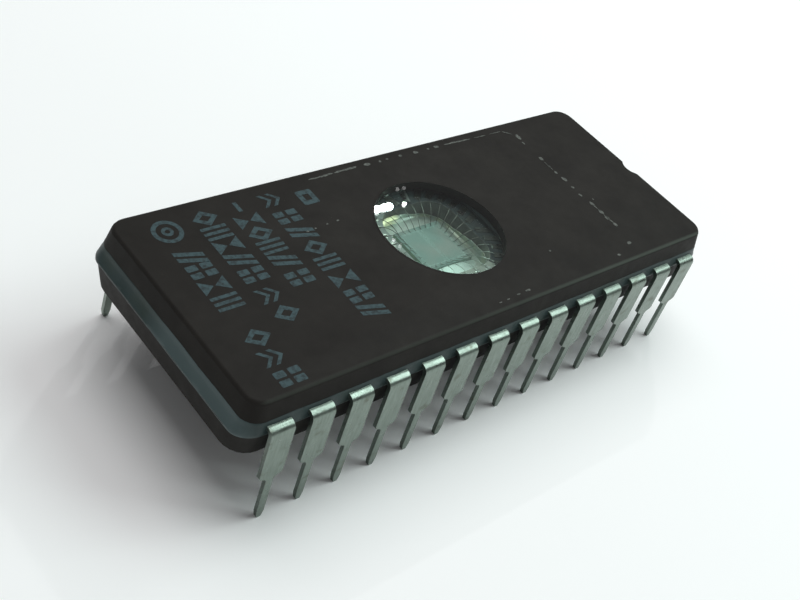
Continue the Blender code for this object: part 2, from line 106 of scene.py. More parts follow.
class Shader:
    """A material under construction: its node tree, its Principled shader and millimetre space."""

    def __init__(self, name):
        self.material = bpy.data.materials.new(name)
        self.material.use_nodes = True
        self.nodes = self.material.node_tree.nodes
        self.links = self.material.node_tree.links
        self.surface = self.nodes["Principled BSDF"]
        coordinates = self.nodes.new("ShaderNodeTexCoord")
        scale = self.nodes.new("ShaderNodeVectorMath")
        scale.operation = "SCALE"
        scale.inputs["Scale"].default_value = 1.0 / MM
        self.links.new(coordinates.outputs["Object"], scale.inputs[0])
        self.space = scale.outputs[0]

    def set(self, **values):
        """Sets sockets of the Principled shader by name, with _ for a space."""
        for name, value in values.items():
            self.surface.inputs[name.replace("_", " ")].default_value = value

    def stretched(self, x, y, z):
        """Millimetre space stretched along the axes."""
        node = self.nodes.new("ShaderNodeVectorMath")
        node.operation = "MULTIPLY"
        node.inputs[1].default_value = (x, y, z)
        self.links.new(self.space, node.inputs[0])
        return node.outputs[0]

    def noise(self, scale, detail=3.0, roughness=0.55, space=None):
        """A noise value from 0 to 1, with its scale per millimetre."""
        node = self.nodes.new("ShaderNodeTexNoise")
        node.inputs["Scale"].default_value = scale
        node.inputs["Detail"].default_value = detail
        node.inputs["Roughness"].default_value = roughness
        self.links.new(space or self.space, node.inputs["Vector"])
        return node.outputs["Fac"]

    def cells(self, scale):
        """Distance to the nearest of scattered points, with the scale per millimetre."""
        node = self.nodes.new("ShaderNodeTexVoronoi")
        node.inputs["Scale"].default_value = scale
        self.links.new(self.space, node.inputs["Vector"])
        return node.outputs["Distance"]

    def span(self, value, low, high, to_low=0.0, to_high=1.0):
        """Maps a value's range low to high onto another range, clamped."""
        node = self.nodes.new("ShaderNodeMapRange")
        node.inputs["From Min"].default_value = low
        node.inputs["From Max"].default_value = high
        node.inputs["To Min"].default_value = to_low
        node.inputs["To Max"].default_value = to_high
        self.links.new(value, node.inputs["Value"])
        return node.outputs["Result"]

    def math(self, operation, first, second):
        """One arithmetic step between sockets or numbers."""
        node = self.nodes.new("ShaderNodeMath")
        node.operation = operation
        for socket, value in zip(node.inputs, (first, second)):
            if isinstance(value, (int, float)):
                socket.default_value = value
            else:
                self.links.new(value, socket)
        return node.outputs[0]

    def mix(self, factor, first, second):
        """A colour between two colours, each a socket or an RGB triple."""
        node = self.nodes.new("ShaderNodeMix")
        node.data_type = "RGBA"
        self.links.new(factor, node.inputs["Factor"])
        for socket, value in zip((node.inputs[6], node.inputs[7]), (first, second)):
            if isinstance(value, tuple):
                socket.default_value = (*value, 1.0)
            else:
                self.links.new(value, socket)
        return node.outputs[2]

    def axis(self, name):
        """One coordinate in millimetres."""
        node = self.nodes.new("ShaderNodeSeparateXYZ")
        self.links.new(self.space, node.inputs[0])
        return node.outputs[name]

    def between(self, value, first, second):
        """A colour that follows a noise value from one colour to another."""
        return self.mix(self.span(value, NOISE_LOW, NOISE_HIGH), first, second)

    def color(self, socket):
        """Takes the base colour from a socket."""
        self.links.new(socket, self.surface.inputs["Base Color"])

    def roughness(self, value, first, second, low=NOISE_LOW):
        """Roughness that follows a noise value from one number to another."""
        spread = self.span(value, low, NOISE_HIGH, first, second)
        self.links.new(spread, self.surface.inputs["Roughness"])

    def let_light_through(self, tint):
        """Straight passage for lamps and bounced light, so that what lies behind clear glass is lit."""
        path = self.nodes.new("ShaderNodeLightPath").outputs
        clear = self.nodes.new("ShaderNodeBsdfTransparent")
        clear.inputs["Color"].default_value = (*tint, 1.0)
        scattered = self.math("SUBTRACT", path["Is Glossy Ray"], path["Is Singular Ray"])
        bounced = self.math("MAXIMUM", path["Is Diffuse Ray"], scattered)
        mixer = self.nodes.new("ShaderNodeMixShader")
        self.links.new(self.math("MAXIMUM", path["Is Shadow Ray"], bounced), mixer.inputs[0])
        self.links.new(self.surface.outputs[0], mixer.inputs[1])
        self.links.new(clear.outputs[0], mixer.inputs[2])
        self.links.new(mixer.outputs[0], self.nodes["Material Output"].inputs["Surface"])

    def bump(self, height, depth, strength):
        """Bump with its full depth in millimetres, added to the bump already there."""
        node = self.nodes.new("ShaderNodeBump")
        node.inputs["Strength"].default_value = strength
        node.inputs["Distance"].default_value = depth * MM
        self.links.new(height, node.inputs["Height"])
        normal = self.surface.inputs["Normal"]
        if normal.is_linked:
            self.links.new(normal.links[0].from_socket, node.inputs["Normal"])
        self.links.new(node.outputs["Normal"], normal)


# Materials


def ceramic_material():
    """Dark brown-grey pressed ceramic: fine grain, pale specks and a painted highlight along the lid's
    near top edge.
    """
    shader = Shader("pressed_ceramic")
    shader.set(Specular_IOR_Level=0.07)
    mottle = shader.noise(0.45, 4.0)
    grain = shader.noise(22.0, 2.0)
    tone = shader.math("ADD", shader.math("MULTIPLY", mottle, 0.6), shader.math("MULTIPLY", grain, 0.4))
    body = shader.mix(shader.span(tone, 0.35, 0.65), (0.0175, 0.016, 0.0147), (0.0257, 0.0237, 0.0213))
    specks = shader.span(shader.cells(3.2), 0.05, 0.09, 1.0, 0.0)
    chosen = shader.math("MULTIPLY", specks, shader.span(shader.noise(1.1), 0.55, 0.65))
    speckled = shader.mix(chosen, body, (0.05, 0.048, 0.04))
    # Painted highlight: the lid's near top edge is painted paler, most towards the notch, where its
    # rounded edge catches the light
    near_side = -LID_HALF.y / MM
    top = LID_TOP / MM
    rim = shader.math(
        "MULTIPLY",
        shader.span(shader.axis("Y"), near_side + 0.42, near_side + 0.28),
        shader.span(shader.axis("Z"), top - 0.16, top - 0.08),
    )
    wear_and_painted_highlight = shader.math("MULTIPLY", rim, shader.span(shader.axis("X"), -6.0, 8.0, 0.35, 1.0))
    shader.color(shader.mix(wear_and_painted_highlight, speckled, (0.06, 0.071, 0.06)))
    shader.roughness(shader.noise(1.6, 5.0), 0.5, 0.6)
    shader.bump(grain, 0.006, 0.7)
    shader.bump(mottle, 0.006, 0.35)
    return shader.material


def seal_material():
    """Opaque green-grey sealing glass with tiny bubbles, paler on the near half of the plain end."""
    shader = Shader("fused_seal_glass")
    shader.set(Specular_IOR_Level=0.25)
    fine = shader.noise(9.0, 3.0)
    tint = shader.between(shader.noise(0.7, 3.0), (0.028, 0.046, 0.046), (0.04, 0.06, 0.06))
    stain = shader.span(shader.noise(0.35, 2.0), 0.55, 0.75)
    stained = shader.mix(stain, tint, (0.036, 0.052, 0.042))
    end_wall = -BASE_HALF.x / MM
    end = shader.math(
        "MULTIPLY",
        shader.span(shader.axis("X"), end_wall + 0.95, end_wall + 0.35),
        shader.span(shader.axis("Y"), 1.8, -0.2),
    )
    shader.color(shader.mix(end, stained, (0.073, 0.104, 0.106)))
    shader.roughness(fine, 0.32, 0.5)
    shader.bump(shader.span(shader.cells(5.0), 0.04, 0.1), 0.006, 0.5)
    shader.bump(fine, 0.012, 0.5)
    return shader.material


def tin_material():
    """Dull solder-dipped lead: wiping streaks down the leg, darker stains and small pits."""
    shader = Shader("dipped_tin")
    shader.set(Metallic=1.0)
    streaks = shader.noise(2.2, 4.0, space=shader.stretched(3.0, 3.0, 0.45))
    stain = shader.noise(1.3, 4.0)
    clean = shader.between(streaks, (0.175, 0.215, 0.185), (0.232, 0.28, 0.245))
    shader.color(shader.mix(shader.span(stain, 0.58, 0.72), clean, (0.14, 0.155, 0.125)))
    shader.roughness(stain, 0.26, 0.4, low=0.35)
    shader.bump(streaks, 0.012, 0.4)
    shader.bump(shader.noise(14.0, 2.0), 0.004, 0.5)
    return shader.material


def lens_material():
    """Clear window glass with the faint green of thick glass."""
    shader = Shader("window_glass")
    shader.set(Transmission_Weight=1.0, IOR=1.5, Roughness=0.0)
    haze = shader.noise(0.8, 3.0)
    shader.color(shader.between(haze, (0.9, 0.97, 0.94), (0.95, 0.99, 0.97)))
    shader.bump(haze, 0.0005, 0.25)
    shader.let_light_through((0.92, 0.96, 0.94))
    return shader.material


def floor_metal_material():
    """The cavity's metallised floor: pale matt metal with faint mottling."""
    shader = Shader("cavity_metal")
    shader.set(Metallic=0.7)
    grain = shader.noise(5.0, 4.0)
    shader.color(shader.between(grain, (0.56, 0.66, 0.6), (0.64, 0.74, 0.68)))
    shader.roughness(grain, 0.36, 0.44)
    shader.bump(grain, 0.002, 0.5)
    return shader.material


def wall_metal_material():
    """Metallisation that crept up the cavity wall: grey with gilt patches, and painted yellow-pale
    towards the -X side as a painted highlight.
    """
    shader = Shader("cavity_wall_metal")
    shader.set(Metallic=0.6)
    grain = shader.noise(6.0, 4.0)
    patches = shader.span(shader.noise(1.6, 3.0), 0.4, 0.62, 0.0, 0.35)
    # Painted highlight: the yellow-pale colour grows towards the -X side, where the wall's upper edge is
    # lit; the noise patches are the metal's own gilt tone
    gilt_and_painted_highlight = shader.math("ADD", patches, shader.span(shader.axis("X"), -0.9, -0.1, 0.65, 0.0))
    grey = shader.between(grain, (0.42, 0.5, 0.46), (0.56, 0.66, 0.6))
    shader.color(shader.mix(gilt_and_painted_highlight, grey, (0.72, 0.74, 0.46)))
    shader.roughness(grain, 0.35, 0.5)
    shader.bump(grain, 0.004, 0.6)
    return shader.material


def paste_material():
    """Silver-filled die attach: bright, satin and finely grainy."""
    shader = Shader("die_attach_paste")
    shader.set(Metallic=0.45)
    grain = shader.noise(12.0, 3.0)
    shader.color(shader.between(grain, (0.7, 0.87, 0.8), (0.77, 0.91, 0.86)))
    shader.roughness(grain, 0.42, 0.52)
    shader.bump(grain, 0.002, 0.5)
    return shader.material


def silicon_material():
    """Silicon under oxide: a green-grey mirror-like face with fine cell rows."""
    shader = Shader("silicon_die")
    shader.set(Metallic=0.25)
    rows = shader.noise(3.0, 2.0, space=shader.stretched(1.0, 9.0, 1.0))
    film = shader.span(shader.noise(0.4, 1.0), 0.45, 0.6, 0.0, 0.6)
    cells = shader.mix(shader.span(rows, 0.35, 0.65), (0.265, 0.405, 0.365), (0.3, 0.445, 0.4))
    shader.color(shader.mix(film, cells, (0.39, 0.44, 0.4)))
    shader.roughness(rows, 0.02, 0.03)
    return shader.material


def finger_material():
    """The lead frame's fingers inside the package: grey and matt from the sealing heat."""
    shader = Shader("sealed_finger")
    shader.set(Metallic=1.0)
    grain = shader.noise(4.0, 4.0)
    shader.color(shader.between(grain, (0.24, 0.28, 0.26), (0.36, 0.41, 0.38)))
    shader.roughness(grain, 0.4, 0.55)
    shader.bump(grain, 0.004, 0.5)
    return shader.material


def wire_material():
    """Aluminium bond wire, dulled by the sealing heat, and painted paler on the near side as painted
    light where the near part of the cavity is lit.
    """
    shader = Shader("bond_wire")
    shader.set(Metallic=1.0)
    grain = shader.noise(20.0, 2.0)
    dull = shader.between(grain, (0.115, 0.13, 0.115), (0.18, 0.2, 0.175))
    # Painted light: the wires are paler towards -Y, where the near part of the cavity lies in the light
    near_side = shader.span(shader.axis("Y"), -1.0, -2.0)
    shader.color(shader.mix(near_side, dull, (0.6, 0.72, 0.66)))
    shader.roughness(grain, 0.3, 0.4)
    return shader.material


def shelf_material(name, low, high):
    """Crystallised glass of the bond shelf, between two tones and painted paler on the near side, where
    the shelf is lit.
    """
    shader = Shader(name)
    shader.set(Specular_IOR_Level=0.3)
    grain = shader.noise(3.0, 4.0)
    # Painted light: paler towards -Y, where the near side of the shelf is lit and the far side lies in
    # the bore's shade
    near_side = shader.span(shader.axis("Y"), -1.4, -2.2, 0.0, 0.8)
    shader.color(shader.mix(near_side, shader.between(grain, low, high), (0.36, 0.42, 0.36)))
    shader.roughness(grain, 0.5, 0.7)
    return shader.material


def pad_material():
    """Aluminium of the bond pads and wiring, slightly scuffed."""
    shader = Shader("pad_aluminium")
    shader.set(Metallic=0.6)
    grain = shader.noise(30.0, 2.0)
    shader.color(shader.between(grain, (0.27, 0.41, 0.37), (0.35, 0.5, 0.45)))
    shader.roughness(grain, 0.35, 0.5)
    shader.bump(grain, 0.002, 0.5)
    return shader.material


def ink_material():
    """Thin blue-grey marking ink, worn through to the ceramic in places."""
    shader = Shader("marking_ink")
    shader.set(Specular_IOR_Level=0.15)
    wear_and_painted_highlight = shader.noise(4.5, 5.0, 0.65)
    shader.color(shader.mix(shader.span(wear_and_painted_highlight, 0.45, 0.68), (0.044, 0.075, 0.083), (0.025, 0.031, 0.033)))
    shader.roughness(wear_and_painted_highlight, 0.5, 0.7)
    shader.bump(wear_and_painted_highlight, 0.004, 0.6)
    return shader.material


def residue_material():
    """Dried glue and paper fibre left round the edge of a removed label."""
    shader = Shader("label_residue")
    shader.set(Specular_IOR_Level=0.2)
    grain = shader.noise(7.0, 4.0)
    shader.color(shader.mix(shader.span(grain, 0.35, 0.65), (0.05, 0.055, 0.05), (0.15, 0.16, 0.145)))
    shader.roughness(grain, 0.6, 0.85)
    shader.bump(grain, 0.01, 0.8)
    return shader.material


def floor_material():
    """Plain pale floor."""
    shader = Shader("plain_floor")
    shader.set(Roughness=0.9, Specular_IOR_Level=0.1)
    shader.color(shader.between(shader.noise(0.02, 2.0), (0.96, 0.96, 0.96), (0.97, 0.97, 0.97)))
    return shader.material


# Mesh helpers


def add_piece(name, bm, material, smooth=False):
    """Makes a bmesh a piece of the object, riding on its one body."""
    mesh = bpy.data.meshes.new(name)
    bmesh.ops.recalc_face_normals(bm, faces=bm.faces)
    bm.to_mesh(mesh)
    bm.free()
    piece = bpy.data.objects.new(name, mesh)
    bpy.context.scene.collection.objects.link(piece)
    mesh.materials.append(material)
    if smooth:
        mesh.shade_smooth()
        mesh.set_sharp_from_angle(angle=SHARP_ANGLE)
    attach(piece, "root")
    return piece


def dress(name, material, edge_width):
    """A CAD node again with its triangles joined, its edges softened and its curves smooth."""
    bm = bmesh.new()
    bm.from_mesh(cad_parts[name].data)
    bmesh.ops.remove_doubles(bm, verts=bm.verts, dist=JOIN_DISTANCE)
    bmesh.ops.dissolve_limit(bm, angle_limit=FLAT_ANGLE, verts=bm.verts, edges=bm.edges)
    piece = add_piece(f"dressed_{name}", bm, material, smooth=True)
    bevel = piece.modifiers.new("soft_edges", "BEVEL")
    bevel.width = edge_width
    bevel.segments = 2
    bevel.limit_method = "ANGLE"
    bevel.angle_limit = SHARP_ANGLE
    bevel.harden_normals = True
    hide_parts(name)
    return piece


def dress_lead(name, tin, finger, wire):
    """A dressed lead, with its finger under the window and its bond wire in their own finish."""
    piece = dress(name, tin, LEAD_EDGE)
    piece.data.materials.append(finger)
    piece.data.materials.append(wire)
    for polygon in piece.data.polygons:
        if polygon.center.xy.length < FINGER_REACH:
            polygon.material_index = 2 if polygon.area < WIRE_FACE else 1


def raise_film(bm, thickness):
    """Gives flat faces lying on a surface the thickness of a film."""
    grown = bmesh.ops.extrude_face_region(bm, geom=list(bm.faces))["geom"]
    tops = [item for item in grown if isinstance(item, bmesh.types.BMVert)]
    bmesh.ops.translate(bm, vec=(0.0, 0.0, thickness), verts=tops)


def heading(angle):
    """The unit vector in plan at an angle from +X."""
    return Vector((math.cos(angle), math.sin(angle)))


def loop_points(centre, half_x, half_y, radius, segments=4):
    """A rectangle with rounded corners round a centre, counter-clockwise, in plan."""
    points = []
    for turn, (sign_x, sign_y) in enumerate(QUADRANTS):
        corner = Vector((sign_x * (half_x - radius), sign_y * (half_y - radius)))
        for step in range(segments + 1):
            points.append(centre + corner + radius * heading(math.pi / 2 * (turn + step / segments)))
    return points


def circle_points(centre, radius, count):
    """Points evenly round a circle in plan, counter-clockwise."""
    return [centre + radius * heading(2 * math.pi * step / count) for step in range(count)]


def walk_outline(half_x, half_y, radius, spacing):
    """Points and outward directions at an even spacing round a rounded rectangle in plan."""
    stops = []
    for turn, (sign_x, sign_y) in enumerate(QUADRANTS):
        corner = Vector((sign_x * (half_x - radius), sign_y * (half_y - radius)))
        steps = max(2, round(radius * math.pi / 2 / spacing))
        for step in range(steps + 1):
            outward = heading(math.pi / 2 * (turn + step / steps))
            stops.append((corner + radius * outward, outward))
        run = 2 * ((half_y if turn % 2 else half_x) - radius)
        steps = max(2, round(run / spacing))
        start, outward = stops[-1]
        along = Vector((-outward.y, outward.x))
        for step in range(1, steps):
            stops.append((start + along * run * step / steps, outward))
    return stops


def add_patch(bm, points, z):
    """One flat face from plan points."""
    bm.faces.new([bm.verts.new((point.x, point.y, z)) for point in points])


def add_band(bm, outer, inner, z):
    """A flat ring between two loops of as many points."""
    outside = [bm.verts.new((point.x, point.y, z)) for point in outer]
    inside = [bm.verts.new((point.x, point.y, z)) for point in inner]
    for index in range(len(outside)):
        after = (index + 1) % len(outside)
        bm.faces.new((outside[index], outside[after], inside[after], inside[index]))


def close_tube(bm, columns, joined):
    """Faces between neighbouring columns of vertices, each column a closed section."""
    count = len(columns[0])
    pairs = list(zip(columns, columns[1:]))
    if joined:
        pairs.append((columns[-1], columns[0]))
    for left, right in pairs:
        for row in range(count):
            after = (row + 1) % count
            bm.faces.new((left[row], right[row], right[after], left[after]))
    if not joined:
        bm.faces.new(columns[0])
        bm.faces.new(columns[-1])


# Marking: rows of plain shapes, each in a cell of one size

INK_THICKNESS = 0.006 * MM
STROKE = 0.26 * MM
# Half height and half width of a shape; a row reads towards -Y, so its height lies along X
MARK_TALL = 0.8 * MM
MARK_WIDE = 0.52 * MM
RING_CENTRE = Vector((-15.5, 5.15)) * MM
# Outer radius and line width of each ring
RINGS = ((0.88 * MM, 0.26 * MM), (0.34 * MM, 0.2 * MM))
RING_TURNS = 32
SQUARE_CENTRE = Vector((-6.3, 5.0)) * MM


def shifted(centre, *offsets):
    """Plan points at (tall, wide) offsets from a centre, with the rows reading towards -Y."""
    return [centre + Vector((tall, -wide)) for tall, wide in offsets]


def mark_bars(bm, centre, z):
    """Three upright bars."""
    for side in (-1, 0, 1):
        place = centre + Vector((0.0, side * 0.4 * MM))
        add_patch(bm, loop_points(place, MARK_TALL, 0.11 * MM, 0.05 * MM), z)


def mark_blocks(bm, centre, z):
    """Four small blocks."""
    for along in (-1, 1):
        for side in (-1, 1):
            place = centre + Vector((along * 0.44 * MM, side * 0.29 * MM))
            add_patch(bm, loop_points(place, 0.33 * MM, 0.21 * MM, 0.06 * MM), z)


def mark_slashes(bm, centre, z):
    """Two slanted bars."""
    lean = 0.24 * MM
    half = 0.15 * MM
    for middle in (-lean, lean):
        add_patch(
            bm,
            shifted(
                centre,
                (-MARK_TALL, middle - lean - half),
                (-MARK_TALL, middle - lean + half),
                (MARK_TALL, middle + lean + half),
                (MARK_TALL, middle + lean - half),
            ),
            z,
        )


def mark_diamond(bm, centre, z):
    """A hollow diamond."""
    def corners(tall, wide):
        return shifted(centre, (tall, 0), (0, wide), (-tall, 0), (0, -wide))
    add_band(bm, corners(MARK_TALL, MARK_WIDE + 0.1 * MM), corners(0.38 * MM, 0.26 * MM), z)


def mark_triangles(bm, centre, z):
    """Two solid triangles point to point."""
    for way in (-1, 1):
        base = way * MARK_TALL
        tip = way * 0.06 * MM
        add_patch(bm, shifted(centre, (base, -MARK_WIDE), (base, MARK_WIDE), (tip, 0)), z)


def mark_chevrons(bm, centre, z):
    """Two nested angles."""
    for base in (-0.8 * MM, -0.2 * MM):
        tip = base + 0.75 * MM
        add_patch(
            bm,
            shifted(
                centre,
                (base, -MARK_WIDE),
                (tip - STROKE, 0),
                (base, MARK_WIDE),
                (base + STROKE, MARK_WIDE),
                (tip, 0),
                (base + STROKE, -MARK_WIDE),
            ),
            z,
        )


def mark_dash(bm, centre, z):
    """A short dash."""
    add_patch(bm, loop_points(centre, STROKE / 2, 0.4 * MM, 0.05 * MM), z)


# Each row's x, and the y of the shapes in it, in mm
MARK_ROWS = {
    -8.45: (
        (mark_chevrons, 5.5),
        (mark_blocks, 3.95),
        (mark_slashes, 2.55),
        (mark_diamond, 1.25),
        (mark_bars, 0.0),
        (mark_triangles, -1.4),
        (mark_blocks, -2.7),
        (mark_slashes, -3.95),
    ),
    -10.75: (
        (mark_dash, 5.6),
        (mark_triangles, 4.4),
        (mark_diamond, 3.3),
        (mark_bars, 2.2),
        (mark_slashes, 1.0),
        (mark_blocks, -0.4),
    ),
    -13.0: (
        (mark_diamond, 5.4),
        (mark_bars, 4.2),
        (mark_triangles, 3.1),
        (mark_slashes, 1.92),
        (mark_blocks, 0.7),
        (mark_chevrons, -0.9),
        (mark_diamond, -2.35),
    ),
    -15.4: (
        (mark_slashes, 3.0),
        (mark_blocks, 1.95),
        (mark_triangles, 0.75),
        (mark_bars, -0.5),
        (mark_diamond, -3.2),
        (mark_chevrons, -4.6),
        (mark_blocks, -6.0),
    ),
}


def build_marking(material):
    """All the shapes as one thin film on the lid."""
    bm = bmesh.new()
    for x, row in MARK_ROWS.items():
        for mark, y in row:
            mark(bm, Vector((x, y)) * MM, LID_TOP)
    for radius, width in RINGS:
        outer = circle_points(RING_CENTRE, radius, RING_TURNS)
        add_band(bm, outer, circle_points(RING_CENTRE, radius - width, RING_TURNS), LID_TOP)
    add_band(
        bm,
        loop_points(SQUARE_CENTRE, 0.55 * MM, 0.6 * MM, 0.12 * MM),
        loop_points(SQUARE_CENTRE, 0.22 * MM, 0.26 * MM, 0.05 * MM),
        LID_TOP,
    )
    raise_film(bm, INK_THICKNESS)
    add_piece("lid_marking", bm, material)


# Residue of a removed label, scattered along its outline

RESIDUE_THICKNESS = 0.012 * MM
RESIDUE_SEED = 7
GLUE_STEP = 0.16 * MM
# Unbroken lines of glue: start, end and half width in mm
GLUE_LINES = (
    ((-5.3, 6.27), (-3.4, 6.3), 0.075),
    ((-3.3, 6.31), (-1.55, 6.36), 0.09),
    ((5.85, 6.34), (8.2, 6.27), 0.06),
    ((8.5, 6.27), (9.6, 6.25), 0.03),
    ((10.0, 6.25), (11.05, 6.24), 0.035),
    ((11.15, 6.2), (11.72, 5.72), 0.04),
    ((11.81, 2.6), (11.8, 1.7), 0.04),
    ((11.88, -2.0), (11.9, -2.6), 0.05),
    ((11.88, -3.0), (11.92, -3.9), 0.045),
)
# Single flecks: place and half sizes in mm
RESIDUE_FLECKS = (
    (-0.71, 6.33, 0.27, 0.13),
    (0.31, 6.29, 0.1, 0.1),
    (0.94, 6.35, 0.1, 0.08),
    (2.05, 6.36, 0.14, 0.11),
    (3.31, 6.3, 0.19, 0.13),
    (4.41, 6.32, 0.12, 0.07),
    (5.12, 6.32, 0.18, 0.13),
    (11.95, 5.32, 0.15, 0.33),
    (11.82, 4.7, 0.07, 0.15),
    (11.84, 2.93, 0.16, 0.2),
    (11.81, 2.1, 0.08, 0.16),
    (11.8, 1.45, 0.09, 0.18),
    (11.87, 0.72, 0.15, 0.23),
    (11.81, -0.16, 0.12, 0.14),
    (11.75, -0.95, 0.1, 0.16),
    (11.89, -1.9, 0.14, 0.2),
    (11.9, -2.78, 0.16, 0.24),
    (11.85, -3.36, 0.15, 0.18),
    (11.91, -4.05, 0.14, 0.21),
    (12.35, -1.6, 0.04, 0.09),
    (1.42, -6.31, 0.19, 0.08),
    (0.6, -6.33, 0.16, 0.06),
    (-0.3, -6.4, 0.12, 0.045),
    (-0.96, -6.42, 0.14, 0.04),
    (11.43, -5.73, 0.2, 0.13),
    (9.78, -6.29, 0.16, 0.1),
    (5.4, -4.26, 0.1, 0.07),
    (-8.1, 2.5, 0.09, 0.06),
    (-7.5, 2.55, 0.08, 0.05),
    (-6.6, 2.62, 0.08, 0.05),
    (-5.8, 2.66, 0.09, 0.06),
)


def add_fleck(bm, rng, centre, half_x, half_y):
    """One ragged flake."""
    sides = rng.randint(7, 11)
    points = []
    for step in range(sides):
        along = heading(2 * math.pi * step / sides)
        reach = rng.uniform(0.75, 1.15)
        points.append(centre + reach * Vector((half_x * along.x, half_y * along.y)))
    add_patch(bm, points, LID_TOP)


def add_glue_line(bm, rng, start, end, half):
    """A line of glue with ragged sides."""
    along = end - start
    side = Vector((-along.y, along.x)).normalized()
    steps = max(3, round(along.length / GLUE_STEP))
    there = []
    back = []
    for step in range(steps + 1):
        share = step / steps
        place = start + along * share
        reach = side * half * min(1.0, 0.3 + 6 * share, 0.3 + 6 * (1 - share))
        there.append(place + reach * rng.uniform(0.35, 1.3))
        back.append(place - reach * rng.uniform(0.35, 1.3))
    add_patch(bm, there + back[::-1], LID_TOP)


def build_residue(material):
    """Lines and flakes of glue along the label's outline, and a few loose flakes."""
    rng = random.Random(RESIDUE_SEED)
    bm = bmesh.new()
    for start, end, half in GLUE_LINES:
        add_glue_line(bm, rng, Vector(start) * MM, Vector(end) * MM, half * MM)
    for x, y, half_x, half_y in RESIDUE_FLECKS:
        add_fleck(bm, rng, Vector((x, y)) * MM, half_x * MM, half_y * MM)
    raise_film(bm, RESIDUE_THICKNESS)
    add_piece("label_residue", bm, material)


# Seal skin: the glass that flowed a little over the edges of lid and base

SKIN_SPACING = 0.14 * MM
# How far the skin stands out of a wall or is sunk in it, and where its hidden back is
SKIN_DEPTH = 0.014 * MM
SKIN_LIP = 0.004 * MM
SKIN_BACK = -0.15 * MM


def wander(place, scale, seed):
    """Smooth noise from -1 to 1 at a place on the outline."""
    return noise.noise(Vector((place.x / MM * scale, place.y / MM * scale, seed)))


def skin_profile(place):
    """Heights and outward steps (at the ends, along the sides) of the skin at one place."""
    # How far the glass climbs the lid, hangs down the base and bulges between them
    creep = (0.05 + 0.05 * wander(place, 0.5, 1.0) + 0.02 * wander(place, 2.3, 2.0)) * MM
    drape = (0.13 + 0.07 * wander(place, 0.45, 5.0) + 0.04 * wander(place, 1.9, 6.0)) * MM
    swell = (0.035 + 0.025 * wander(place, 0.8, 9.0)) * MM
    # Along the sides it bulges most at the leads
    if abs(place.y) > LID_HALF.y - LID_CORNER:
        nearest = (math.floor(abs(place.x) / LEAD_PITCH) + 0.5) * LEAD_PITCH
        swell += 0.045 * MM * math.exp(-(((abs(place.x) - nearest) / (0.85 * MM)) ** 2))
    step_x = BASE_HALF.x - LID_HALF.x
    step_y = BASE_HALF.y - LID_HALF.y
    drop = LID_UNDERSIDE - BASE_TOP
    top = -creep * WALL_SLOPE
    rows = [
        (LID_UNDERSIDE + creep, top - 0.012 * MM, top - 0.012 * MM),
        (LID_UNDERSIDE + creep * 0.8, top + SKIN_LIP, top + SKIN_LIP),
        (LID_UNDERSIDE, SKIN_DEPTH, SKIN_DEPTH),
    ]
    for share in (0.2, 0.4, 0.6, 0.8):
        spread = 1 - math.sin(math.pi / 2 * (1 - share))
        lift = swell * math.sin(math.pi * share)
        rows.append((LID_UNDERSIDE - drop * share, step_x * spread + lift, step_y * spread + lift))
    low_x = step_x - drape * WALL_SLOPE
    low_y = step_y - drape * WALL_SLOPE
    return rows + [
        (BASE_TOP + 0.02 * MM, step_x - SKIN_LIP, step_y + 0.012 * MM),
        (BASE_TOP - drape * 0.8, low_x + 0.01 * MM, low_y + SKIN_DEPTH),
        (BASE_TOP - drape, low_x - SKIN_DEPTH, low_y - SKIN_DEPTH),
        (BASE_TOP + 0.05 * MM, SKIN_BACK, SKIN_BACK),
        (LID_UNDERSIDE - 0.05 * MM, SKIN_BACK, SKIN_BACK),
    ]


def build_skin(material):
    """The wavy skin round the package, open at the index notch."""
    def in_notch(stop):
        place, outward = stop
        return outward.x > 0.99 and abs(place.y) < NOTCH_CLEAR

    bm = bmesh.new()
    stops = walk_outline(LID_HALF.x, LID_HALF.y, LID_CORNER, SKIN_SPACING)
    first = next(
        index for index, stop in enumerate(stops) if in_notch(stops[index - 1]) and not in_notch(stop)
    )
    columns = []
    for place, outward in stops[first:] + stops[:first]:
        if in_notch((place, outward)):
            continue
        columns.append(
            [
                bm.verts.new((place.x + outward.x * out_x, place.y + outward.y * out_y, z))
                for z, out_x, out_y in skin_profile(place)
            ]
        )
    close_tube(bm, columns, joined=False)
    add_piece("seal_skin", bm, material, smooth=True)


# Inside the window

# How far the metallisation's upper edge stands out of the cavity wall
WALL_LIP = 0.03 * MM
# Painted shade: the wall is left bare highest round the far +X +Y corner, so that its dark bare ceramic
# stands in for the shade there
# Heading round the cavity (degrees) and how much wall is bare above the metallisation there (mm)
WALL_METAL_GAPS = (
    (-180, 0.1),
    (-100, 0.2),
    (-60, 0.05),
    (-12, 0.08),
    (5, 0.25),
    (22, 0.45),
    (50, 0.52),
    (68, 0.48),
    (84, 0.22),
    (105, 0.03),
    (180, 0.1),
)
FILLET_STEPS = 60
WIRE_FOOT_HEIGHT = 0.06 * MM
PAD_HALF = 0.055 * MM
LINE_PITCH = 0.035 * MM
WIRING_THICKNESS = 0.003 * MM
WINDOW_TURNS = 128
MIDDLE = Vector((0.0, 0.0))


def bare_above(place):
    """How much of the cavity wall stays bare above the metallisation at one place."""
    turn = math.degrees(math.atan2(place.y, place.x))
    for (start, low), (end, high) in zip(WALL_METAL_GAPS, WALL_METAL_GAPS[1:]):
        if turn <= end:
            return (low + (high - low) * (turn - start) / (end - start)) * MM
    return WALL_METAL_GAPS[-1][1] * MM


def walk_cavity(inset, spacing):
    """Points and outward directions round the cavity wall, at a small inset from it."""
    setback = FLOOR_METAL_SETBACK - inset
    return walk_outline(
        FLOOR_METAL_HIGH.x + setback, FLOOR_METAL_HIGH.y + setback, FLOOR_METAL_CORNER + setback, spacing
    )


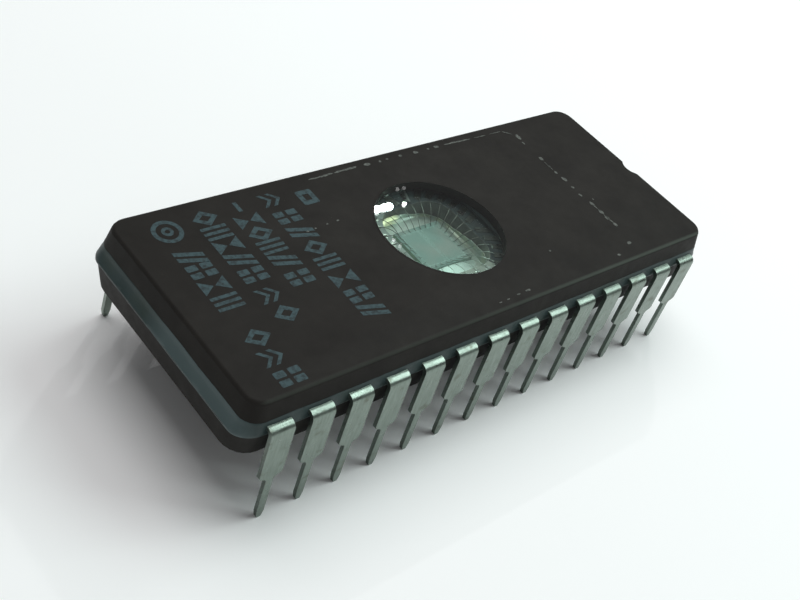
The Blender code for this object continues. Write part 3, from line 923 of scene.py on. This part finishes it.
def build_cavity_wall(material):
    """Metallisation on the cavity wall: a ragged upper edge and a fine lip, thicker on one side."""
    bm = bmesh.new()
    low = FLOOR_METAL_LOW.z
    floor = FLOOR_METAL_HIGH.z
    columns = []
    for place, outward in walk_cavity(0.012 * MM, 0.1 * MM):
        ripple = (0.04 + 0.05 * wander(place, 1.3, 3.0) + 0.03 * wander(place, 4.0, 4.0)) * MM
        top = BASE_TOP - bare_above(place) - max(ripple, 0.0)
        inner = place - outward * 0.01 * MM
        bulge = WALL_LIP + 0.015 * MM * wander(place, 5.0, 8.0)
        if outward.y > 0.0 and place.x < 0.0:
            bulge += 0.2 * MM * min(1.0, -place.x / (0.6 * MM))
        lip = place - outward * bulge
        slump = 0.012 * MM + 0.6 * (bulge - WALL_LIP)
        foot = place - outward * (FLOOR_METAL_SETBACK + 0.01 * MM)
        section = (
            (place, low),
            (place, top),
            (inner, top),
            (lip, top - slump),
            (lip, top - slump - 0.018 * MM),
            (inner, top - slump - 0.04 * MM),
            (inner, floor + (top - slump - 0.04 * MM - floor) * 0.3),
            (foot, floor + 0.006 * MM),
            (foot, low),
        )
        columns.append([bm.verts.new((*spot, z)) for spot, z in section])
    close_tube(bm, columns, joined=True)
    add_piece("cavity_wall_metal", bm, material, smooth=True)


def build_shelf_lining(material):
    """Glass that ran down from the bond shelf over the bare part of the cavity wall."""
    bm = bmesh.new()
    columns = []
    for place, outward in walk_cavity(0.002 * MM, 0.15 * MM):
        inner = place - outward * 0.016 * MM
        section = (
            (place, FLOOR_METAL_HIGH.z),
            (place, BOND_SHELF + 0.004 * MM),
            (inner, BOND_SHELF - 0.004 * MM),
            (inner, FLOOR_METAL_HIGH.z),
        )
        columns.append([bm.verts.new((*spot, z)) for spot, z in section])
    close_tube(bm, columns, joined=True)
    add_piece("shelf_lining", bm, material, smooth=True)


def build_shelf_film(material):
    """Paler glass on the two near sides of the bond shelf, round the fingers: painted light where the
    shelf is lit.
    """
    bm = bmesh.new()
    top = BOND_SHELF + 0.008 * MM
    columns = []
    for place, outward in walk_cavity(0.01 * MM, 0.1 * MM):
        if outward.x > -0.35 and outward.y > -0.9:
            continue
        outer = place + outward * (0.85 + 0.1 * wander(place, 1.2, 17.0)) * MM
        section = ((place, BOND_SHELF), (outer, BOND_SHELF), (outer, top), (place, top))
        columns.append([bm.verts.new((*spot, z)) for spot, z in section])
    close_tube(bm, columns, joined=False)
    add_piece("shelf_film", bm, material)


def build_attach_fillet(material):
    """Die attach squeezed out in front of the die, from half way up its edge down to the floor."""
    bm = bmesh.new()
    floor = FLOOR_METAL_HIGH.z
    sunk = floor - 0.004 * MM
    toe = floor + 0.012 * MM
    start = DIE_LOW.x
    run = FLOOR_METAL_HIGH.x - 0.45 * MM - start
    columns = []
    for step in range(FILLET_STEPS + 1):
        share = step / FILLET_STEPS
        x = start + run * share
        taper = math.sqrt(max(0.0, math.sin(math.pi * share))) * (1.0 - 0.35 * share)
        reach = (0.1 + (0.85 + 0.06 * wander(Vector((x, 0.0)), 2.0, 11.0)) * taper) * MM
        height = (0.06 + 0.38 * taper) * MM
        section = [(DIE_LOW.y, sunk), (DIE_LOW.y, floor + height)]
        for fraction in (0.08, 0.18, 0.3, 0.45, 0.65, 0.85, 0.97):
            z = toe + (floor + height - toe) * (1.0 - fraction) ** 1.4
            section.append((DIE_LOW.y - reach * fraction, z))
        section.append((DIE_LOW.y - reach, sunk))
        columns.append([bm.verts.new((x, y, z)) for y, z in section])
    close_tube(bm, columns, joined=False)
    add_piece("attach_fillet", bm, material, smooth=True)


def wire_feet():
    """Where each bond wire meets the die, in plan."""
    feet = []
    for name in LEADS:
        inside = [
            vertex.co.xy
            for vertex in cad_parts[name].data.vertices
            if DIE_LOW.x < vertex.co.x < DIE_HIGH.x
            and DIE_LOW.y < vertex.co.y < DIE_HIGH.y
            and vertex.co.z < DIE_HIGH.z + WIRE_FOOT_HEIGHT
        ]
        feet.append(sum(inside, MIDDLE) / len(inside))
    return feet


def build_die_wiring(material):
    """Bond pads under the wires and the metal lines round the cell arrays."""
    bm = bmesh.new()
    top = DIE_HIGH.z
    for foot in wire_feet():
        add_patch(bm, loop_points(foot, PAD_HALF, PAD_HALF, 0.008 * MM, 2), top)
    reach_x = DIE_HIGH.x - 0.28 * MM
    reach_y = DIE_HIGH.y - 0.3 * MM
    for inset, width in ((0.0, 0.014 * MM), (0.05 * MM, 0.01 * MM)):
        outer = loop_points(MIDDLE, reach_x - inset, reach_y - inset, 0.03 * MM, 2)
        inset += width
        inner = loop_points(MIDDLE, reach_x - inset, reach_y - inset, 0.02 * MM, 2)
        add_band(bm, outer, inner, top)
    for line in range(-4, 5):
        place = Vector((line * LINE_PITCH, 0.0))
        add_patch(bm, loop_points(place, 0.004 * MM, reach_y - 0.12 * MM, 0.002 * MM, 1), top)
    raise_film(bm, WIRING_THICKNESS)
    add_piece("die_wiring", bm, material)


def lens_profile():
    """Radius and height from the middle of the top, over the crisp rim, to the middle below."""
    top = LENS_HIGH.z
    bottom = LENS_LOW.z
    radius = LENS_HIGH.x + 0.025 * MM
    edge = 0.02 * MM
    profile = [(0.0, top), (radius * 0.5, top), (radius - 2 * edge, top)]
    for step in range(5):
        along = heading(math.pi / 2 * step / 4)
        profile.append((radius - edge + edge * along.y, top - edge + edge * along.x))
    return profile + [
        (radius, bottom + 0.03 * MM),
        (radius - 0.03 * MM, bottom),
        (radius - 0.06 * MM, bottom),
        (0.0, bottom),
    ]


def build_window_glaze(material):
    """Dark glaze that fills the bore's chamfer and runs up to the window's rim."""
    rim = LENS_HIGH.x
    section = (
        (rim + 0.16 * MM, LID_TOP - 0.004 * MM),
        (rim + 0.16 * MM, LID_TOP + 0.002 * MM),
        (rim + 0.1 * MM, LID_TOP + 0.012 * MM),
        (rim + 0.05 * MM, LID_TOP + 0.026 * MM),
        (rim + 0.015 * MM, LENS_HIGH.z - 0.01 * MM),
        (rim + 0.01 * MM, LID_TOP - 0.08 * MM),
    )
    bm = bmesh.new()
    columns = []
    for along in circle_points(MIDDLE, 1.0, WINDOW_TURNS):
        columns.append([bm.verts.new((*(along * radius), z)) for radius, z in section])
    close_tube(bm, columns, joined=True)
    add_piece("window_glaze", bm, material, smooth=True)


def build_lens(material):
    """The window, a little wider than its bore so that no air shows between glass and ceramic."""
    bm = bmesh.new()
    rings = []
    for radius, z in lens_profile():
        ring = circle_points(MIDDLE, radius, WINDOW_TURNS) if radius else [MIDDLE]
        rings.append([bm.verts.new((*spot, z)) for spot in ring])
    for above, below in zip(rings, rings[1:]):
        for step in range(WINDOW_TURNS):
            after = (step + 1) % WINDOW_TURNS
            corners = [
                above[step % len(above)],
                below[step % len(below)],
                below[after % len(below)],
                above[after % len(above)],
            ]
            bm.faces.new(list(dict.fromkeys(corners)))
    piece = add_piece("window", bm, material, smooth=True)
    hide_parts("window_lens")


# Finish of the CAD nodes


def paint(name, material):
    """Gives a CAD node a finished material."""
    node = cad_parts[name]
    node.data.materials.clear()
    node.data.materials.append(material)


# Stage

FLOOR_REACH = 3.0
WORLD_COLOR = (0.98, 0.99, 1.0)
WORLD_STRENGTH = 0.2
WHITE = (1.0, 1.0, 1.0)
COOL = (0.88, 1.0, 0.98)
# Name, azimuth and elevation (degrees), distance and side (m), power (W) and colour
SOFTBOXES = (
    ("overhead", 80, 72, 0.5, 0.4, 1.26, WHITE),
    ("cap_front", -30, 42, 0.3, 0.15, 0.3, COOL),
    ("cap_top", 4, 53, 0.3, 0.13, 0.22, COOL),
)
GLINT_DISTANCE = 0.5
# Where small lamps show in the window (x, y in mm), their diameter in mm and their radiance
GLINTS = (
    (-2.93, 2.61, 3.7, 1500.0),
    (-2.44, 2.6, 3.6, 1500.0),
    (-1.98, 2.56, 3.5, 1500.0),
    (-0.91, 2.42, 1.8, 1100.0),
    (-3.67, 0.08, 1.7, 4.0),
    (-3.61, -0.44, 1.6, 3.2),
    (-0.41, 3.69, 2.0, 2.0),
    (0.06, 3.64, 2.0, 1.6),
)


def build_stage():
    """A plain pale floor under the leads."""
    bm = bmesh.new()
    bmesh.ops.create_grid(bm, x_segments=1, y_segments=1, size=FLOOR_REACH)
    mesh = bpy.data.meshes.new("floor")
    bm.to_mesh(mesh)
    bm.free()
    floor = bpy.data.objects.new("floor", mesh)
    bpy.context.scene.collection.objects.link(floor)
    mesh.materials.append(floor_material())


def add_lamp(name, shape, size, power, tint, spot, away, distance):
    """A flat lamp at a distance from a spot in a direction, aimed at the spot."""
    data = bpy.data.lights.new(name, "AREA")
    data.color = tint
    data.shape = shape
    data.size = size
    data.energy = power
    lamp = bpy.data.objects.new(name, data)
    bpy.context.scene.collection.objects.link(lamp)
    lamp.location = spot + away * distance
    lamp.rotation_euler = away.to_track_quat("Z", "Y").to_euler()


def add_softbox(name, azimuth, elevation, distance, size, power, tint):
    """A square soft lamp in a direction from the chip."""
    rise = math.radians(elevation)
    away = Vector((*(heading(math.radians(azimuth)) * math.cos(rise)), math.sin(rise)))
    add_lamp(name, "SQUARE", size, power, tint, Vector((0.0, 0.0, LID_TOP)), away, distance)


def mirrored(spot):
    """The direction in which a level mirror at a spot shows its surroundings to the camera."""
    seen = CAMERA_EYE - spot
    return Vector((-seen.x, -seen.y, seen.z)).normalized()


def add_glint(number, x, y, size, radiance):
    """A tiny round lamp that shows in the flat window at one point of it (mm), seen from the camera."""
    spot = Vector((x * MM, y * MM, LENS_HIGH.z))
    area = math.pi * (size * MM / 2) ** 2
    power = radiance * math.pi * area
    add_lamp(f"glint_{number}", "DISK", size * MM, power, WHITE, spot, mirrored(spot), GLINT_DISTANCE)


def build_lights():
    """Even surroundings, a broad soft box overhead, two for the lead bends, and the glints."""
    world = bpy.data.worlds.new("studio")
    world.use_nodes = True
    background = world.node_tree.nodes["Background"]
    background.inputs["Color"].default_value = (*WORLD_COLOR, 1.0)
    background.inputs["Strength"].default_value = WORLD_STRENGTH
    bpy.context.scene.world = world
    for softbox in SOFTBOXES:
        add_softbox(*softbox)
    for number, glint in enumerate(GLINTS, 1):
        add_glint(number, *glint)
    bpy.context.scene.view_settings.view_transform = "Standard"


def build_camera():
    """The photograph's view."""
    level_right = CAMERA_FORWARD.cross(Vector((0, 0, 1))).normalized()
    level_up = level_right.cross(CAMERA_FORWARD)
    right = level_right * math.cos(CAMERA_ROLL) + level_up * math.sin(CAMERA_ROLL)
    up = level_up * math.cos(CAMERA_ROLL) - level_right * math.sin(CAMERA_ROLL)
    data = bpy.data.cameras.new("photo_camera")
    data.sensor_width = SENSOR_WIDTH
    data.sensor_fit = "HORIZONTAL"
    data.lens = CAMERA_FOCAL_PIXELS * SENSOR_WIDTH / IMAGE_WIDTH
    data.clip_start = CAMERA_NEAR
    data.clip_end = CAMERA_FAR
    camera = bpy.data.objects.new("photo_camera", data)
    bpy.context.scene.collection.objects.link(camera)
    turn = Matrix((right, up, -CAMERA_FORWARD)).transposed()
    camera.matrix_world = Matrix.Translation(CAMERA_EYE) @ turn.to_4x4()
    bpy.context.scene.camera = camera


def build_scene():
    """Dresses the chip and sets the stage."""
    build_camera()
    build_lights()
    build_stage()
    ceramic = ceramic_material()
    glass = seal_material()
    tin = tin_material()
    for name in ("ceramic_base", "ceramic_lid"):
        dress(name, ceramic, CERAMIC_EDGE)
    finger = finger_material()
    wire = wire_material()
    for name in LEADS:
        dress_lead(name, tin, finger, wire)
    paint("seal_glass", glass)
    paint("cavity_floor_metal", floor_metal_material())
    paste = paste_material()
    paint("die_attach", paste)
    build_attach_fillet(paste)
    paint("die", silicon_material())
    build_skin(glass)
    build_cavity_wall(wall_metal_material())
    # The shelf glass comes in two copies: a paler film on the near sides as painted light, and a greyer
    # lining as painted shade for the far side
    build_shelf_film(shelf_material("shelf_glass_painted_light", (0.2, 0.25, 0.23), (0.27, 0.33, 0.3)))
    build_shelf_lining(shelf_material("shelf_glass_painted_shade", (0.1, 0.115, 0.105), (0.16, 0.18, 0.165)))
    build_window_glaze(ceramic)
    build_die_wiring(pad_material())
    build_lens(lens_material())
    build_marking(ink_material())
    build_residue(residue_material())


build_scene()
